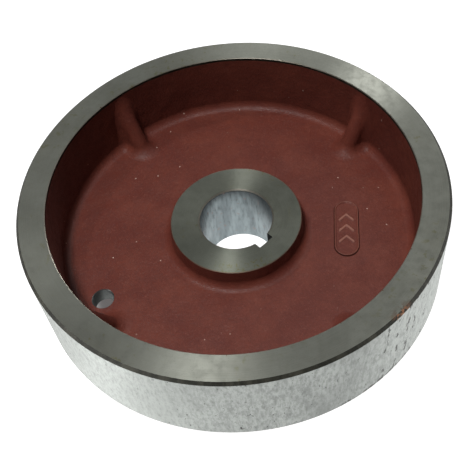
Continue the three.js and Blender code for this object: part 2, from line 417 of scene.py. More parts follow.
def pored_iron():
    """The rim's outside: a coarser cut that opened the iron's pores, in rows where the metal was
    slow to feed, and bruised along its back edge."""
    s = Shader("turned_side_iron")
    x, y, z = s.split()
    turn = s.math("ARCTAN2", y, x)
    tall = s.stretched_up(0.33)
    cloud = s.noise(24, 3, 0.5, place=tall)
    mottle = s.noise(380, 5, 0.72, place=tall)
    streak = s.noise(620, 3, 0.6, place=tall)
    grain = s.noise(900, 3, 0.7)
    cuts = s.noise(1100, 2, 0.6, place=z, noise_dimensions="1D")
    colour = s.mix(s.ramp(cloud, 0.3, 0.7, 0.3, 0.85), SIDE_DARK, SIDE_LIGHT)
    colour = s.mix(s.ramp(mottle, 0.42, 0.64, 0.0, 0.75), colour, SIDE_DARK)
    colour = s.mix(s.ramp(streak, 0.50, 0.72, 0.0, 0.4), colour, SIDE_STAIN)
    colour = s.mix(s.ramp(grain, 0.52, 0.75, 0.0, 0.45), colour, SIDE_STAIN)
    colour = s.mix(s.ramp(cuts, 0.4, 0.7, 0.0, 0.12), colour, SIDE_LIGHT)
    crowding = 0.0
    for seed, (angle, half_width, scale) in enumerate(PORE_ROWS):
        row = ragged_row(s, turn, math.radians(angle), half_width * MM / RIM_RADIUS, z, scale, seed)
        crowding = s.math("MAXIMUM", crowding, row)
    pores = s.math("ADD", s.noise(560, 2, 0.6, place=tall), s.math("MULTIPLY", crowding, 0.25))
    pits = s.ramp(pores, 0.69, 0.735)
    from_bruises = s.math("ABSOLUTE", s.math("SUBTRACT", turn, BRUISE_ANGLE))
    bruised = ragged_row(s, z, RIM_BACK + 2.2 * MM, 3.4 * MM, turn, 30, 2)
    bruised = s.math("MULTIPLY", bruised, s.ramp(from_bruises, 0.16, 0.28, 1, 0.1))
    knocks = s.math("ADD", s.noise(260, 2, 0.6), s.math("MULTIPLY", bruised, 0.42))
    pits = s.math("MAXIMUM", pits, s.ramp(knocks, 0.70, 0.73))
    colour = s.mix(s.math("MULTIPLY", pits, 0.9), colour, PORE_DARK)
    skin = s.bump(cuts, 0.10, 0.15 * MM)
    skin = s.bump(mottle, 0.12, 0.4 * MM, skin)
    skin = s.bump(s.math("SUBTRACT", 1.0, pits), 0.7, 0.5 * MM, skin)
    s.feed(s.skin, Base_Color=colour, Normal=skin, Metallic=0.8)
    s.feed(s.skin, Roughness=s.ramp(mottle, 0.3, 0.7, 0.40, 0.55))
    s.feed(s.skin, Anisotropic=0.6, Anisotropic_Rotation=0.25)
    s.feed(s.skin, Tangent=s.add("Tangent", direction_type="RADIAL", axis="Z").outputs[0])
    return s.material


def painted_dark_edge():
    """The front chamfer and the band just under the mouth: painted near-black, for a painted dark
    reflection along the chamfer and a painted shadow line under the mouth, scuffed bright here and
    there, with one rust bloom.
    """
    s = Shader("painted_dark_edge_iron")
    x, y, z = s.split()
    turn = s.math("ARCTAN2", y, x)
    scuffs = s.noise(9, 5, 0.75, place=turn, noise_dimensions="1D")
    grain = s.noise(700, 3, 0.7)
    colour = s.mix(s.ramp(scuffs, 0.42, 0.64), EDGE_PAINTED_DARK, EDGE_SCUFFED)
    colour = s.mix(s.ramp(grain, 0.5, 0.75, 0.0, 0.4), colour, EDGE_GRAIN)
    colour = s.mix(rust_bloom(s, turn, 0.07), colour, RUST)
    s.feed(s.skin, Base_Color=colour, Metallic=0.1, Specular_IOR_Level=0.12)
    s.feed(s.skin, Roughness=s.ramp(grain, 0.3, 0.7, 0.45, 0.65))
    return s.material


# Painted dark: the front chamfer's dark reflection and the shadow line under the mouth.
EDGE_PAINTED_DARK = (0.012, 0.012, 0.009, 1)
EDGE_SCUFFED = (0.030, 0.029, 0.022, 1)
EDGE_GRAIN = (0.05, 0.05, 0.042, 1)
FACE_LIGHT = (0.345, 0.355, 0.31, 1)
FACE_DARK = (0.225, 0.232, 0.198, 1)
FACE_GRAIN = (0.07, 0.07, 0.06, 1)
SIDE_LIGHT = (0.37, 0.39, 0.37, 1)
SIDE_DARK = (0.20, 0.212, 0.20, 1)
SIDE_STAIN = (0.085, 0.09, 0.082, 1)
PORE_DARK = (0.030, 0.028, 0.025, 1)
# Rows of open pores up the side: (angle in degrees, half the row's width in mm, breaks per metre).
PORE_ROWS = [(-43.6, 1.6, 70), (-46.5, 2.6, 40), (-50.5, 2.0, 60), (-54.5, 2.2, 70), (-38, 1.5, 80)]
BRUISE_ANGLE = math.radians(-56)
OLIVE_OIL = (0.19, 0.18, 0.06, 1)
OIL_FILM = (0.21, 0.20, 0.14, 1)
RUST = (0.16, 0.075, 0.04, 1)
RUST_ANGLE = math.radians(-49.5)
face_iron = turned_iron("turned_face_iron", FACE_LIGHT, FACE_DARK, 0.42)
side_iron = pored_iron()
edge_iron = painted_dark_edge()
# Burnished edge breaks: a lighter copy of the face iron, partly real burnish and partly a painted
# highlight line.
HIGHLIT_EDGE_LIGHT = (0.40, 0.38, 0.32, 1)
HIGHLIT_EDGE_DARK = (0.26, 0.24, 0.20, 1)
burnished_highlit_iron = turned_iron("burnished_highlit_edge_iron", HIGHLIT_EDGE_LIGHT, HIGHLIT_EDGE_DARK, 0.42)

FACE, SIDE, PAINT, EDGE, BURNISHED_HIGHLIT = 0, 1, 2, 3, 4
back_edge = (RIM_RADIUS - BACK_CHAMFER, RIM_BACK)
side_low = (RIM_RADIUS, RIM_BACK + BACK_CHAMFER)
side_high = (RIM_RADIUS, RIM_FRONT - FRONT_CHAMFER_HEIGHT)
front_edge = (RIM_RADIUS - FRONT_CHAMFER_WIDTH, RIM_FRONT)
mouth_edge = (MOUTH_RADIUS + MOUTH_BREAK, RIM_FRONT)
mouth = (MOUTH_RADIUS, RIM_FRONT - MOUTH_BREAK)
paint_top = (MOUTH_RADIUS, RIM_FRONT - PAINT_EDGE)
wall_foot_front = (WALL_FOOT_RADIUS, WALL_FOOT_FRONT)
wall_foot_back = (WALL_FOOT_RADIUS, WALL_FOOT_BACK)
back_mouth = (BACK_MOUTH_RADIUS, RIM_BACK)
rim_section = [
    straight(back_edge, side_low, SIDE),
    straight(side_low, side_high, SIDE, 24),
    # The front chamfer is painted near-black for a dark reflection.
    straight(side_high, front_edge, EDGE),
    straight(front_edge, mouth_edge, FACE, 6),
    # The mouth's break is painted lighter: a burnished edge and a painted highlight line.
    straight(mouth_edge, mouth, BURNISHED_HIGHLIT),
    # Down to the primer, the wall is painted near-black for a shadow line under the mouth.
    straight(mouth, paint_top, EDGE),
    straight(paint_top, wall_foot_front, PAINT, WALL_ROWS, True),
    straight(wall_foot_front, wall_foot_back, PAINT, 1, True),
    straight(wall_foot_back, back_mouth, PAINT, 2, True),
    straight(back_mouth, back_edge, FACE, 6),
]
rim = turned("rim_casting", rim_section, [face_iron, side_iron, primer, edge_iron, burnished_highlit_iron])
settle_facing(rim, rim_section)
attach(rim, "root")
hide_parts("rim")

# ---------------------------------------------------------------------------------------------
# Web. The flat disc between hub and rim, with a generous fillet in every corner so the iron
# feeds the rim as it cools. One hole is drilled through it, bare inside.

WEB_FRONT = 41.5 * MM
WEB_BACK = 28.5 * MM
HUB_ROOT_RADIUS = 49.4 * MM
FRONT_FILLET = WALL_FOOT_FRONT - WEB_FRONT
RIM_BACK_FILLET = WEB_BACK - WALL_FOOT_BACK
HUB_BACK_FILLET = WEB_BACK - web_low.z
HOLE_RADIUS = 7.75 * MM
HOLE_CENTRE_RADIUS = 111.6 * MM
HOLE_ANGLE = math.radians(-155)

# The web's hidden walls are set a little into the rim and the hub, so no two surfaces coincide.
BURIED = 0.3 * MM
rim_seat = WALL_FOOT_RADIUS + BURIED
hub_seat = HUB_ROOT_RADIUS - BURIED
low_at_rim, low_at_hub, top = WALL_FOOT_BACK, web_low.z, WALL_FOOT_FRONT
back_inner = HUB_ROOT_RADIUS + HUB_BACK_FILLET
back_outer = WALL_FOOT_RADIUS - RIM_BACK_FILLET
front_inner = HUB_ROOT_RADIUS + FRONT_FILLET
front_outer = WALL_FOOT_RADIUS - FRONT_FILLET
web_section = [
    hollow_round((back_inner, low_at_hub), HUB_BACK_FILLET, 180, 90, 0),
    straight((back_inner, WEB_BACK), (back_outer, WEB_BACK), 0, 16, True),
    hollow_round((back_outer, low_at_rim), RIM_BACK_FILLET, 90, 0, 0, 10),
    straight((WALL_FOOT_RADIUS, low_at_rim), (rim_seat, low_at_rim + BURIED), 0),
    straight((rim_seat, low_at_rim + BURIED), (rim_seat, top - BURIED), 0),
    straight((rim_seat, top - BURIED), (WALL_FOOT_RADIUS, top), 0),
    hollow_round((front_outer, top), FRONT_FILLET, 0, -90, 0),
    straight((front_outer, WEB_FRONT), (front_inner, WEB_FRONT), 0, 30, True),
    hollow_round((front_inner, top), FRONT_FILLET, 270, 180, 0),
    straight((HUB_ROOT_RADIUS, top), (hub_seat, top - BURIED), 0),
    straight((hub_seat, top - BURIED), (hub_seat, low_at_hub + BURIED), 0),
    straight((hub_seat, low_at_hub + BURIED), (HUB_ROOT_RADIUS, low_at_hub), 0),
]


class CutWall:
    """A cut face that looks to or from one axis line, or, with no centre, one fixed way."""

    cast = False

    def __init__(self, way=(0, 0, 0), centre=None):
        self.way = np.array(way, float)
        self.centre = centre

    def facing(self, points):
        facing = np.tile(self.way, (len(points), 1))
        if self.centre is not None:
            facing -= radial(points - np.array(self.centre))
        return facing / np.linalg.norm(facing, axis=1)[:, None]


def cut(piece, tool):
    """Takes the tool's shape out of the piece, and keeps the finish of each face that it leaves."""
    modifier = piece.modifiers.new("cut", "BOOLEAN")
    modifier.object = tool
    modifier.operation = "DIFFERENCE"
    modifier.solver = "EXACT"
    ready = piece.evaluated_get(bpy.context.evaluated_depsgraph_get())
    piece_mesh = bpy.data.meshes.new_from_object(ready)
    piece.modifiers.clear()
    piece.data = piece_mesh
    bpy.data.objects.remove(tool)


def tool_solid(name, points, faces, stretches, finish):
    mesh = bpy.data.meshes.new(name)
    mesh.from_pydata([tuple(p) for p in points], [], faces)
    mesh.attributes.new("stretch", "INT", "FACE").data.foreach_set("value", stretches)
    mesh.polygons.foreach_set("material_index", [finish] * len(faces))
    tool = bpy.data.objects.new(name, mesh)
    bpy.context.scene.collection.objects.link(tool)
    return tool


def drill(centre, profile, first_stretch, finish, sides=72):
    """A round tool about an upright axis, from its (radius, height) profile, bottom to top."""
    angle = np.linspace(0, 2 * math.pi, sides, endpoint=False)
    points = []
    for radius, height in profile:
        for a in angle:
            x, y = centre[0] + radius * math.cos(a), centre[1] + radius * math.sin(a)
            points.append((x, y, height))
    faces = [list(range(sides))[::-1], [(len(profile) - 1) * sides + j for j in range(sides)]]
    stretches = [first_stretch, first_stretch]
    for k in range(len(profile) - 1):
        for j in range(sides):
            after = (j + 1) % sides
            low, high = k * sides, (k + 1) * sides
            faces.append((low + j, low + after, high + after, high + j))
            stretches.append(first_stretch + k)
    return tool_solid("drill", points, faces, stretches, finish)


HOLE_BREAK = 0.4 * MM
PAST = 2 * MM
hole_way = np.array((math.cos(HOLE_ANGLE), math.sin(HOLE_ANGLE), 0))
hole_centre = tuple(HOLE_CENTRE_RADIUS * hole_way)
DRILLED_LIGHT = (0.30, 0.32, 0.31, 1)
DRILLED_DARK = (0.16, 0.175, 0.17, 1)
drilled_iron = turned_iron("drilled_iron", DRILLED_LIGHT, DRILLED_DARK, 0.45, 0.0)
web = turned("web_casting", web_section, [primer, drilled_iron])
drill_profile = [
    (HOLE_RADIUS + HOLE_BREAK + PAST, WEB_BACK - PAST),
    (HOLE_RADIUS, WEB_BACK + HOLE_BREAK),
    (HOLE_RADIUS, WEB_FRONT - HOLE_BREAK),
    (HOLE_RADIUS + HOLE_BREAK + PAST, WEB_FRONT + PAST),
]
cut(web, drill(hole_centre, drill_profile, len(web_section), 1))
hole_walls = [
    CutWall((0, 0, -1), hole_centre),
    CutWall(centre=hole_centre),
    CutWall((0, 0, 1), hole_centre),
]
settle_facing(web, web_section + hole_walls)
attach(web, "root")
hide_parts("web")

# ---------------------------------------------------------------------------------------------
# Hub. The long boss that takes the shaft. Both ends are faced, the bore is reamed and a keyway
# is broached down it. Its flanks keep their cast skin and primer.

hub_low, hub_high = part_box("hub")
BORE_RADIUS = 26.99 * MM
BORE_CHAMFER = 1.0 * MM
HUB_FACE_RADIUS = 48.4 * MM
HUB_EDGE_BREAK = 0.5 * MM


def reamed_bore():
    """The bore: a fine bluish ream, dulled by drips of oil down its wall. Painted shade darkens its
    top end, with a painted dark line just under the mouth and painted dark reflections to either side.
    """
    s = Shader("reamed_bore_iron")
    x, y, z = s.split()
    tall = s.stretched_up(0.22)
    drips = s.noise(95, 4, 0.55, place=tall)
    fine = s.noise(520, 3, 0.65, place=tall)
    cuts = s.noise(1700, 2, 0.6, place=z, noise_dimensions="1D")
    colour = s.mix(s.ramp(drips, 0.36, 0.66), BORE_LIGHT, BORE_DARK)
    colour = s.mix(s.ramp(fine, 0.5, 0.72, 0.0, 0.3), colour, BORE_FINE)
    # Painted shade over the top end of the bore, and a painted dark line just under its mouth.
    painted_mouth_shade = s.ramp(z, hub_high.z - 11 * MM, hub_high.z, 0.0, 0.75)
    colour = s.mix(painted_mouth_shade, colour, BORE_PAINTED_DARK)
    painted_mouth_line = s.ramp(z, hub_high.z - 2.6 * MM, hub_high.z - 1.6 * MM, 0.0, 0.8)
    colour = s.mix(painted_mouth_line, colour, BORE_PAINTED_DARK)
    # Painted dark reflections near the top, away from the unshaded angle.
    from_unshaded_side = s.math("ABSOLUTE", s.math("SUBTRACT", s.math("ARCTAN2", y, x), BORE_UNSHADED_ANGLE))
    painted_dark_sides = s.math("MULTIPLY", s.ramp(from_unshaded_side, 0.35, 1.25), s.ramp(z, 0.3 * hub_high.z, hub_high.z))
    colour = s.mix(s.math("MULTIPLY", painted_dark_sides, 0.9), colour, BORE_PAINTED_DARK)
    rusty = s.math("MULTIPLY", s.ramp(s.noise(260, 3), 0.62, 0.7), 0.35)
    colour = s.mix(rusty, colour, BORE_RUST)
    skin = s.bump(cuts, 0.08, 0.12 * MM)
    s.feed(s.skin, Base_Color=colour, Normal=skin, Metallic=0.8)
    s.feed(s.skin, Roughness=s.ramp(fine, 0.3, 0.75, 0.34, 0.52))
    return s.material


BORE_LIGHT = (0.29, 0.34, 0.35, 1)
BORE_DARK = (0.20, 0.235, 0.245, 1)
BORE_PAINTED_DARK = (0.048, 0.055, 0.057, 1)
BORE_FINE = (0.10, 0.115, 0.12, 1)
BORE_RUST = (0.30, 0.16, 0.13, 1)
BORE_UNSHADED_ANGLE = math.radians(105)
bored_iron = reamed_bore()
BROACHED_LIGHT = (0.022, 0.022, 0.020, 1)
BROACHED_DARK = (0.010, 0.010, 0.009, 1)
broached_iron = turned_iron("broached_iron", BROACHED_LIGHT, BROACHED_DARK, 0.55, 0.0)
HUB_LIGHT = (0.27, 0.285, 0.24, 1)
HUB_DARK = (0.165, 0.175, 0.142, 1)
SMUDGE_ANGLE = math.radians(-88)
hub_face_iron = turned_iron("hub_face_iron", HUB_LIGHT, HUB_DARK, 0.40, 0.8, SMUDGE_ANGLE)
HUB_EDGE_LIGHT = (0.36, 0.28, 0.21, 1)
HUB_EDGE_DARK = (0.22, 0.15, 0.11, 1)
hub_edge_iron = turned_iron("hub_edge_iron", HUB_EDGE_LIGHT, HUB_EDGE_DARK, 0.5)
HUB_FACE, HUB_BORE, HUB_PAINT, HUB_KEYWAY, HUB_CHAMFER, HUB_EDGE = range(6)
back_bore_edge = (BORE_RADIUS + BORE_CHAMFER, hub_low.z)
back_face_edge = (HUB_FACE_RADIUS - HUB_EDGE_BREAK, hub_low.z)
back_flank_end = (HUB_FACE_RADIUS, HUB_EDGE_BREAK)
back_root = (HUB_ROOT_RADIUS, web_low.z)
front_root = (HUB_ROOT_RADIUS, WALL_FOOT_FRONT)
front_flank_end = (HUB_FACE_RADIUS, hub_high.z - HUB_EDGE_BREAK)
front_face_edge = (HUB_FACE_RADIUS - HUB_EDGE_BREAK, hub_high.z)
front_bore_edge = (BORE_RADIUS + BORE_CHAMFER, hub_high.z)
front_bore = (BORE_RADIUS, hub_high.z - BORE_CHAMFER)
back_bore = (BORE_RADIUS, BORE_CHAMFER)
hub_section = [
    straight(back_bore, back_bore_edge, HUB_BORE),
    straight(back_bore_edge, back_face_edge, HUB_FACE, 4),
    straight(back_face_edge, back_flank_end, HUB_FACE),
    straight(back_flank_end, back_root, HUB_PAINT, 16, True),
    straight(back_root, front_root, HUB_PAINT, 1, True),
    straight(front_root, front_flank_end, HUB_PAINT, 8, True),
    straight(front_flank_end, front_face_edge, HUB_EDGE),
    straight(front_face_edge, front_bore_edge, HUB_FACE, 4),
    # The bore's chamfer is painted lighter: a burnished edge and a painted highlight line.
    straight(front_bore_edge, front_bore, HUB_CHAMFER),
    straight(front_bore, back_bore, HUB_BORE),
]
hub = turned(
    "hub_casting",
    hub_section,
    [hub_face_iron, bored_iron, primer, broached_iron, burnished_highlit_iron, hub_edge_iron],
)
KEYWAY_HALF_WIDTH = 6.35 * MM
KEYWAY_FLOOR = 32.0 * MM
KEYWAY_ANGLE = math.radians(-51)
key_out = np.array((math.cos(KEYWAY_ANGLE), math.sin(KEYWAY_ANGLE), 0))
key_side = np.array((-math.sin(KEYWAY_ANGLE), math.cos(KEYWAY_ANGLE), 0))
broach_points = []
for height in (hub_low.z - PAST, hub_high.z + PAST):
    for reach, side in ((10 * MM, -1), (KEYWAY_FLOOR, -1), (KEYWAY_FLOOR, 1), (10 * MM, 1)):
        broach_points.append(reach * key_out + side * KEYWAY_HALF_WIDTH * key_side + (0, 0, height))
broach_faces = [(0, 1, 5, 4), (1, 2, 6, 5), (2, 3, 7, 6), (3, 0, 4, 7), (3, 2, 1, 0), (4, 5, 6, 7)]
first_wall = len(hub_section)
broach_walls = [first_wall, first_wall + 1, first_wall + 2, first_wall, first_wall, first_wall]
cut(hub, tool_solid("broach", broach_points, broach_faces, broach_walls, HUB_KEYWAY))
settle_facing(hub, hub_section + [CutWall(key_side), CutWall(-key_out), CutWall(-key_side)])
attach(hub, "root")
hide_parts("hub")

# ---------------------------------------------------------------------------------------------
# Ribs. Four buttresses, cast with the wheel, that brace the rim's wall against the web. Each has
# a rounded crest and flaring flanks, and melts into wall and web through a fillet.

RIB_ANGLES = [37, 127, 217, 307]
RIB_CREST_TOP = (131.6 * MM, 82.5 * MM)
RIB_CREST_TOE = (110.8 * MM, WEB_FRONT)
RIB_CREST_ROUND = 6.6 * MM
RIB_FLARE = math.radians(6)
RIB_FILLET_HIGH = 4.0 * MM
RIB_FILLET_LOW = 7.5 * MM
RIB_TOP_END = 93.8 * MM
RIB_TOE_END = 102.8 * MM
RIB_ROWS = 84
RIB_COLUMNS = 60
# Each row of the skin is found by rays that fan out from a line sunk in the metal.
FAN_DEPTH = 9 * MM
FAN_TOP = 90 * MM
FAN_TOE_RADIUS = 104 * MM
FAN_SWING = math.radians(66)
FAN_RAYS = 331
FEATHER = 0.02 * MM
SUNK = 0.1 * MM


def union_with_fillet(first, second, fillet):
    """Distance to two joined solids whose inner corner is filled to a round."""
    u, v = fillet - first, fillet - second
    return np.where((u > 0) & (v > 0), fillet - np.hypot(u, v), np.minimum(first, second))


def gap_to_casting(p):
    """Distance in the open from the rim's wall and the web, in a rib's own frame, +X outwards."""
    rise = np.clip((p[..., 2] - WALL_FOOT_FRONT) / (RIM_FRONT - WALL_FOOT_FRONT), 0, None)
    wall = WALL_FOOT_RADIUS + (MOUTH_RADIUS - WALL_FOOT_RADIUS) * rise - np.hypot(p[..., 0], p[..., 1])
    return union_with_fillet(wall, p[..., 2] - WEB_FRONT, FRONT_FILLET)


def gap_to_rib(p):
    """Distance to the bare wedge: a rounded crest line with flanks that flare below it."""
    run = np.array(RIB_CREST_TOE) - np.array(RIB_CREST_TOP)
    run /= np.linalg.norm(run)
    above = (p[..., 0] - RIB_CREST_TOP[0]) * run[1] - (p[..., 2] - RIB_CREST_TOP[1]) * run[0]
    above = above + RIB_CREST_ROUND
    side = np.abs(p[..., 1])
    on_flank = side * math.sin(RIB_FLARE) > above * math.cos(RIB_FLARE)
    flank = above * math.sin(RIB_FLARE) + side * math.cos(RIB_FLARE)
    return np.where(on_flank, flank, np.hypot(above, side)) - RIB_CREST_ROUND


def gap_to_ribbed_casting(p):
    """The joined casting. The fillet between them widens from the rib's top to its foot."""
    down = np.clip((RIM_FRONT - p[..., 2]) / (RIM_FRONT - WEB_FRONT), 0, 1)
    fillet = RIB_FILLET_HIGH + (RIB_FILLET_LOW - RIB_FILLET_HIGH) * down
    return union_with_fillet(gap_to_casting(p), gap_to_rib(p), fillet)


def surface_along(gap, start, way, reach):
    """Where rays from start first leave the metal, by halving."""
    near, far = np.zeros(way.shape[:-1]), np.full(way.shape[:-1], reach)
    for _ in range(40):
        middle = (near + far) / 2
        inside = gap(start + way * middle[..., None]) < 0
        near, far = np.where(inside, middle, near), np.where(inside, far, middle)
    return start + way * near[..., None]


def facing_of(gap, p, step=0.02 * MM):
    slope = np.stack([gap(p + step * axis) - gap(p - step * axis) for axis in np.eye(3)], -1)
    return slope / np.linalg.norm(slope, axis=-1)[..., None]


def evenly_along(row, count):
    """The same curve with its points evenly spaced."""
    walked = np.concatenate(([0], np.cumsum(np.linalg.norm(np.diff(row, axis=0), axis=1))))
    wanted = np.linspace(0, walked[-1], count)
    return np.column_stack([np.interp(wanted, walked, row[:, i]) for i in range(3)])


def rib_skin():
    """Rows of points across the rib, from the wall's top to the toe, each in a plane that fans
    from behind the wall to under the web, and the row of casting points under its middle."""
    travel = np.linspace(0, 1, RIB_ROWS)
    behind, under = MOUTH_RADIUS + FAN_DEPTH, WEB_FRONT - FAN_DEPTH
    deep_x = np.interp(travel, (0, 0.5, 1), (behind, behind, FAN_TOE_RADIUS))
    deep_z = np.interp(travel, (0, 0.5, 1), (FAN_TOP, under, under))
    far_x = np.interp(travel, (0, 1), (MOUTH_RADIUS + 1 * MM, RIB_TOE_END))
    far_z = np.interp(travel, (0, 1), (RIB_TOP_END, WEB_FRONT))
    deep = np.column_stack((deep_x, np.zeros(RIB_ROWS), deep_z))
    out = np.column_stack((far_x, np.zeros(RIB_ROWS), far_z)) - deep
    out /= np.linalg.norm(out, axis=1)[:, None]
    floor_point = surface_along(gap_to_casting, deep, out, 60 * MM)
    fan = np.linspace(-FAN_SWING, FAN_SWING, FAN_RAYS)
    ways = out[:, None] * np.cos(fan)[None, :, None] + np.array((0, 1, 0)) * np.sin(fan)[None, :, None]
    starts = (floor_point - 10 * MM * out)[:, None]
    skin = surface_along(gap_to_ribbed_casting, starts, ways, 70 * MM)
    proud = gap_to_casting(skin) > FEATHER
    rows, middles = [], []
    for row, stands, middle in zip(skin, proud, floor_point):
        if stands.sum() > 8:
            rows.append(evenly_along(row[stands], RIB_COLUMNS))
            middles.append(middle)
    rows = surface_snapped(np.array(rows))
    return rows, np.array(middles)


def surface_snapped(points):
    """Pulls resampled points back onto the true surface."""
    for _ in range(3):
        facing = facing_of(gap_to_ribbed_casting, points)
        points = points - facing * gap_to_ribbed_casting(points)[..., None]
    return points


rib_rows, rib_middles = rib_skin()
rib_facing = facing_of(gap_to_ribbed_casting, rib_rows)


def make_rib(name, angle):
    turn = np.array(Matrix.Rotation(angle, 3, "Z"))
    skin, facing, middles = rib_rows @ turn.T, rib_facing @ turn.T, rib_middles @ turn.T
    row_count = len(skin)
    flat_skin, flat_facing = skin.reshape(-1, 3), facing.reshape(-1, 3)
    swollen = flat_skin + flat_facing * swell(flat_skin)[:, None]
    middle_facing = facing_of(gap_to_casting, rib_middles) @ turn.T
    left = skin[:, 0] - SUNK * facing[:, 0]
    right = skin[:, -1] - SUNK * facing[:, -1]
    hidden = np.concatenate((left, middles - SUNK * middle_facing, right))
    points = np.concatenate((swollen, hidden))
    grid = np.arange(row_count * RIB_COLUMNS).reshape(row_count, RIB_COLUMNS)
    lefts, centres, rights = len(flat_skin) + np.arange(3 * row_count).reshape(3, row_count)
    faces = []
    for i in range(row_count - 1):
        for j in range(RIB_COLUMNS - 1):
            faces.append((grid[i, j], grid[i, j + 1], grid[i + 1, j + 1], grid[i + 1, j]))
    shown = len(faces)
    for i in range(row_count - 1):
        faces.append((lefts[i], grid[i, 0], grid[i + 1, 0], lefts[i + 1]))
        faces.append((centres[i], lefts[i], lefts[i + 1], centres[i + 1]))
        faces.append((rights[i], centres[i], centres[i + 1], rights[i + 1]))
        faces.append((grid[i, -1], rights[i], rights[i + 1], grid[i + 1, -1]))
    faces.append([*grid[0][::-1], lefts[0], centres[0], rights[0]])
    faces.append([*grid[-1], rights[-1], centres[-1], lefts[-1]])
    mesh = bpy.data.meshes.new(name)
    mesh.from_pydata(points.tolist(), [], [[int(v) for v in face] for face in faces])
    mesh.materials.append(primer)
    mesh.polygons.foreach_set("use_smooth", [True] * len(faces))
    true_facing = tilted_by_swell(flat_skin, flat_facing)
    corners = []
    for polygon in mesh.polygons:
        for v in polygon.vertices:
            corners.append(true_facing[v] if polygon.index < shown else polygon.normal)
    mesh.normals_split_custom_set(corners)
    rib = bpy.data.objects.new(name, mesh)
    bpy.context.scene.collection.objects.link(rib)
    return rib


for number, angle in enumerate(RIB_ANGLES, 1):
    rib = make_rib(f"rib_casting_{number}", math.radians(angle))
    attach(rib, "root")
    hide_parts(f"rib_{number}")

# ---------------------------------------------------------------------------------------------
# Cast badge. A raised maker's plate, moulded as part of the web: a low pad inside a raised
# border, with three chevrons for the way the engine turns. Painted shade darkens the corner round
# its edge and the pad beside the chevrons, and the raised tops are painted lighter, for rubbed
# paint and a painted highlight.

BADGE_HALF_WIDTH = 9.25 * MM
BADGE_HALF_STRAIGHT = 16.25 * MM
BADGE_CENTRE_RADIUS = 81.6 * MM
BADGE_ANGLE = math.radians(-6)
BADGE_TURN = math.radians(-7.8)
PAD_HEIGHT = 0.5 * MM
RELIEF = 0.7 * MM
CHEVRON_PITCH = 10.0 * MM
CHEVRON_HALF = (5.0 * MM, 2.5 * MM)
CHEVRON_STROKE = 1.25 * MM
# The border in section: (distance in from the badge's edge, height over the web), in mm.
BORDER_SECTION = (
    (-0.6, -0.6), (-0.6, -0.04), (-0.3, -0.01), (0.0, 0.03), (0.14, 0.35), (0.26, 0.75),
    (0.42, 1.02), (0.62, 1.16), (0.85, 1.20), (1.08, 1.14), (1.3, 0.96), (1.55, 0.68), (1.85, 0.52),
)
PAD_RINGS = 24
STRAIGHT_STEPS = 70
ROUND_STEPS = 60


def stadium_loop(half_width):
    """A loop round a slot shape of this half width, evenly laid, counter-clockwise."""
    along = np.linspace(-1, 1, STRAIGHT_STEPS, endpoint=False) * BADGE_HALF_STRAIGHT
    swing = np.linspace(0, math.pi, ROUND_STEPS, endpoint=False)
    right = np.column_stack((np.full(STRAIGHT_STEPS, half_width), along))
    cap = half_width * np.column_stack((np.cos(swing), np.sin(swing))) + (0, BADGE_HALF_STRAIGHT)
    return np.concatenate((right, cap, -right, -cap))


def chevron_height(flat):
    """How far the chevrons stand over the pad, rounded like a casting from a worn pattern."""
    half = np.array(CHEVRON_HALF)
    height = np.zeros(len(flat))
    for row in (-1, 0, 1):
        p = flat - (0, row * CHEVRON_PITCH)
        p = np.column_stack((np.abs(p[:, 0]), p[:, 1]))
        tip = np.array((0, half[1]))
        arm = np.array((half[0], -2 * half[1]))
        share = np.clip(((p - tip) @ arm) / (arm @ arm), 0, 1)
        off = np.linalg.norm(p - tip - share[:, None] * arm, axis=1) / CHEVRON_STROKE
        height = np.maximum(height, RELIEF * np.clip(1 - off**2, 0, 1) ** 0.7)
    return height


badge_turn = np.array(Matrix.Rotation(BADGE_TURN, 2))
badge_centre = BADGE_CENTRE_RADIUS * np.array((math.cos(BADGE_ANGLE), math.sin(BADGE_ANGLE)))
pad_insets = np.linspace(2.1 * MM, BADGE_HALF_WIDTH - 0.15 * MM, PAD_RINGS)
insets = [inset * MM for inset, _ in BORDER_SECTION] + list(pad_insets)
heights = [height * MM for _, height in BORDER_SECTION] + [PAD_HEIGHT] * PAD_RINGS
badge_points, badge_painted_corner_shade, badge_rubbed_and_highlit = [], [], []
for inset, height in zip(insets, heights):
    flat = stadium_loop(BADGE_HALF_WIDTH - inset)
    placed = flat @ badge_turn.T + badge_centre
    rise = height + (chevron_height(flat) if inset > 2 * MM else 0)
    spot = np.column_stack((placed, np.full(len(flat), WEB_FRONT)))
    spot[:, 2] += rise + (swell(spot) if height > -0.5 * MM else 0)
    badge_points.append(spot)
    # Painted shade in the corner at the badge's edge and beside the chevrons; raised tops painted
    # lighter, for rubbed paint and a painted highlight.
    if inset > 2 * MM:
        raised = chevron_height(flat) / RELIEF
        beside = np.where(raised < 0.02, 0, np.exp(-(((raised - 0.18) / 0.2) ** 2)))
    else:
        raised = np.full(len(flat), height / RELIEF - 1.1)
        beside = np.zeros(len(flat))
    in_the_corner = math.exp(-(((inset - 0.05 * MM) / (0.5 * MM)) ** 2))
    badge_painted_corner_shade += list(np.maximum(in_the_corner, 0.5 * beside))
    badge_rubbed_and_highlit += list(np.clip(raised, 0, 1) ** 2)
loop = len(badge_points[0])
here = np.arange(loop)
there = (here + 1) % loop
badge_faces = [list(here[::-1])]
for ring in range(len(insets) - 1):
    low, high = ring * loop, (ring + 1) * loop
    badge_faces += np.column_stack((low + here, low + there, high + there, high + here)).tolist()
last = (len(insets) - 1) * loop
far_side = loop // 2 + STRAIGHT_STEPS
for i in range(STRAIGHT_STEPS):
    across_row = [i, i + 1, (far_side - i - 1) % loop, (far_side - i) % loop]
    badge_faces.append([last + k for k in across_row])
for cap_start in (STRAIGHT_STEPS, far_side):
    badge_faces.append([last + (cap_start + i) % loop for i in range(ROUND_STEPS + 1)])
badge_mesh = bpy.data.meshes.new("cast_badge_relief")
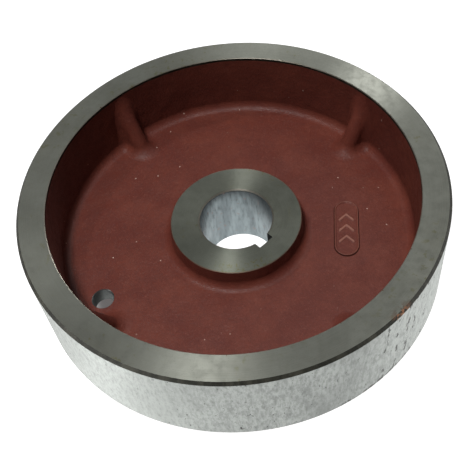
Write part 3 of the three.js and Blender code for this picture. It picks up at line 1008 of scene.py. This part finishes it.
badge_mesh.from_pydata(
    np.concatenate(badge_points).tolist(), [], [[int(v) for v in face] for face in badge_faces]
)
badge_mesh.attributes.new("painted_corner_shade", "FLOAT", "POINT").data.foreach_set("value", badge_painted_corner_shade)
badge_mesh.attributes.new("rubbed_and_highlit", "FLOAT", "POINT").data.foreach_set("value", badge_rubbed_and_highlit)
badge_mesh.polygons.foreach_set("use_smooth", [True] * len(badge_mesh.polygons))
badge_mesh.materials.append(primer)
badge = bpy.data.objects.new("cast_badge_relief", badge_mesh)
bpy.context.scene.collection.objects.link(badge)
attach(badge, "root")
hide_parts("cast_badge")

# ---------------------------------------------------------------------------------------------
# Studio. A pale, faintly glowing floor, with a painted shadow under the wheel where its glow is
# turned down and a painted bright spot under the bore. The key light is overhead, to the left,
# with a window light behind it. Each has a twin that only bright metal mirrors, and two low
# strips light the rim's side from left and right.

CAMERA_ELEVATION = math.radians(53.97)
CAMERA_ROLL = math.radians(6.31)
CAMERA_DISTANCE = 3.6388 * RIM_RADIUS
CAMERA_AIM = Vector((0.0818 * RIM_RADIUS, -0.315 * RIM_RADIUS, RIM_FRONT))

back = Vector((0, -math.cos(CAMERA_ELEVATION), math.sin(CAMERA_ELEVATION)))
level = Vector((1, 0, 0))
upright = back.cross(level)
across = math.cos(CAMERA_ROLL) * level - math.sin(CAMERA_ROLL) * upright
above = math.sin(CAMERA_ROLL) * level + math.cos(CAMERA_ROLL) * upright
camera = bpy.data.objects.new("camera", bpy.data.cameras.new("camera"))
bpy.context.scene.collection.objects.link(camera)
camera.data.lens = 63.03
camera.data.sensor_width = 36
camera.data.shift_x = -0.0386
camera.data.shift_y = 0.0058
camera.matrix_world = (
    Matrix.Translation(CAMERA_AIM + back * CAMERA_DISTANCE)
    @ Matrix((across, above, back)).transposed().to_4x4()
)
bpy.context.scene.camera = camera
bpy.context.scene.view_settings.view_transform = "Standard"

FLOOR_SIZE = 8.0
FLOOR_LEVEL = cad_low.z - 0.1 * MM
floor_mesh = bpy.data.meshes.new("studio_floor")
floor_corners = [(-1, -1), (1, -1), (1, 1), (-1, 1)]
floor_points = [(x * FLOOR_SIZE / 2, y * FLOOR_SIZE / 2, FLOOR_LEVEL) for x, y in floor_corners]
floor_mesh.from_pydata(floor_points, [], [(0, 1, 2, 3)])
floor = bpy.data.objects.new("studio_floor", floor_mesh)
bpy.context.scene.collection.objects.link(floor)
floor_paint = Shader("floor_paint")
floor_x, floor_y, _ = floor_paint.split()
from_axis = floor_paint.length(floor_x, floor_y)
# Painted shadow: the floor's glow is turned down under the wheel, and kept up under the bore as a
# painted bright spot.
outside = floor_paint.ramp(from_axis, 0.113, 0.134)
painted_light_under_bore = floor_paint.ramp(from_axis, 0.030, 0.042, 1, 0)
glow = floor_paint.math("MULTIPLY_ADD", floor_paint.math("MAXIMUM", outside, painted_light_under_bore), 0.92)
glow.node.inputs[2].default_value = 0.1
floor_paint.feed(floor_paint.skin, Base_Color=(0.30, 0.30, 0.30, 1), Roughness=0.9)
floor_paint.feed(floor_paint.skin, Emission_Color=(1, 1, 1, 1), Emission_Strength=glow)
floor_mesh.materials.append(floor_paint.material)


def soft_light(name, place, aim, width, height, radiance, lit=True, mirrored=True):
    """A soft box of this size, as bright as this seen head on. It can be kept from lighting
    plain surfaces, or from being mirrored in bright ones."""
    lamp = bpy.data.lights.new(name, "AREA")
    lamp.shape = "RECTANGLE"
    lamp.size = width
    lamp.size_y = height
    lamp.energy = radiance * math.pi * width * height
    holder = bpy.data.objects.new(name, lamp)
    holder.location = place
    holder.rotation_euler = (Vector(aim) - Vector(place)).to_track_quat("-Z", "Y").to_euler()
    holder.visible_diffuse = lit
    holder.visible_glossy = mirrored
    bpy.context.scene.collection.objects.link(holder)
    return holder


WHEEL_MIDDLE = (0, 0, 0.05)
KEY_PLACE = (-0.33, -0.26, 1.75)
WINDOW_PLACE = (-0.68, 0.59, 1.7)
FAR_WINDOW_PLACE = (0.89, 2.0, 0.86)
SKY_PLACE = (0.5, 1.3, 1.6)
SKY_SHEEN_PLACE = (0.8, 0.95, 1.8)
STRIP_LEVEL = 0.030
LEFT_STRIP_PLACE = (-1.1, -0.75, STRIP_LEVEL)
RIGHT_STRIP_PLACE = (1.15, -0.35, STRIP_LEVEL)
STRIP_HEIGHT = 0.09
soft_light("key_light", KEY_PLACE, WHEEL_MIDDLE, 0.26, 0.26, 132, mirrored=False)
soft_light("key_sheen", KEY_PLACE, WHEEL_MIDDLE, 0.2, 0.2, 80, lit=False)
soft_light("window_light", WINDOW_PLACE, WHEEL_MIDDLE, 0.11, 0.11, 150, mirrored=False)
# The far window would draw bright arcs in the web's fillets, so it shines on the rim alone.
far_window = soft_light("far_window_sheen", FAR_WINDOW_PLACE, WHEEL_MIDDLE, 0.28, 0.28, 62, lit=False)
far_window.light_linking.receiver_collection = bpy.data.collections.new("machined_faces")
far_window.light_linking.receiver_collection.objects.link(rim)
soft_light("sky_panel", SKY_PLACE, WHEEL_MIDDLE, 1.4, 1.2, 0.4, mirrored=False)
soft_light("sky_sheen", SKY_SHEEN_PLACE, WHEEL_MIDDLE, 1.6, 1.6, 0.7, lit=False)
soft_light("left_strip", LEFT_STRIP_PLACE, WHEEL_MIDDLE, 1.3, STRIP_HEIGHT, 80)
soft_light("right_strip", RIGHT_STRIP_PLACE, WHEEL_MIDDLE, 1.1, STRIP_HEIGHT, 38)

# The room is white to look at. It hardly lights plain surfaces, and bright metal mirrors it grey.
ROOM_GLOW = 0.016
ROOM_MIRRORED = 0.085
ROOM_SEEN = 1.0
room = bpy.data.worlds.new("studio_room")
bpy.context.scene.world = room
room.use_nodes = True
room_nodes = room.node_tree.nodes
ray = room_nodes.new("ShaderNodeLightPath")
strength = None
for kind, brightness in (("Is Glossy Ray", ROOM_MIRRORED), ("Is Camera Ray", ROOM_SEEN)):
    raised = room_nodes.new("ShaderNodeMix")
    raised.inputs["A"].default_value = ROOM_GLOW
    raised.inputs["B"].default_value = brightness
    room.node_tree.links.new(ray.outputs[kind], raised.inputs["Factor"])
    if strength:
        room.node_tree.links.new(strength, raised.inputs["A"])
    strength = raised.outputs["Result"]
room.node_tree.links.new(strength, room_nodes["Background"].inputs["Strength"])
room_nodes["Background"].inputs["Color"].default_value = (1, 1, 1, 1)
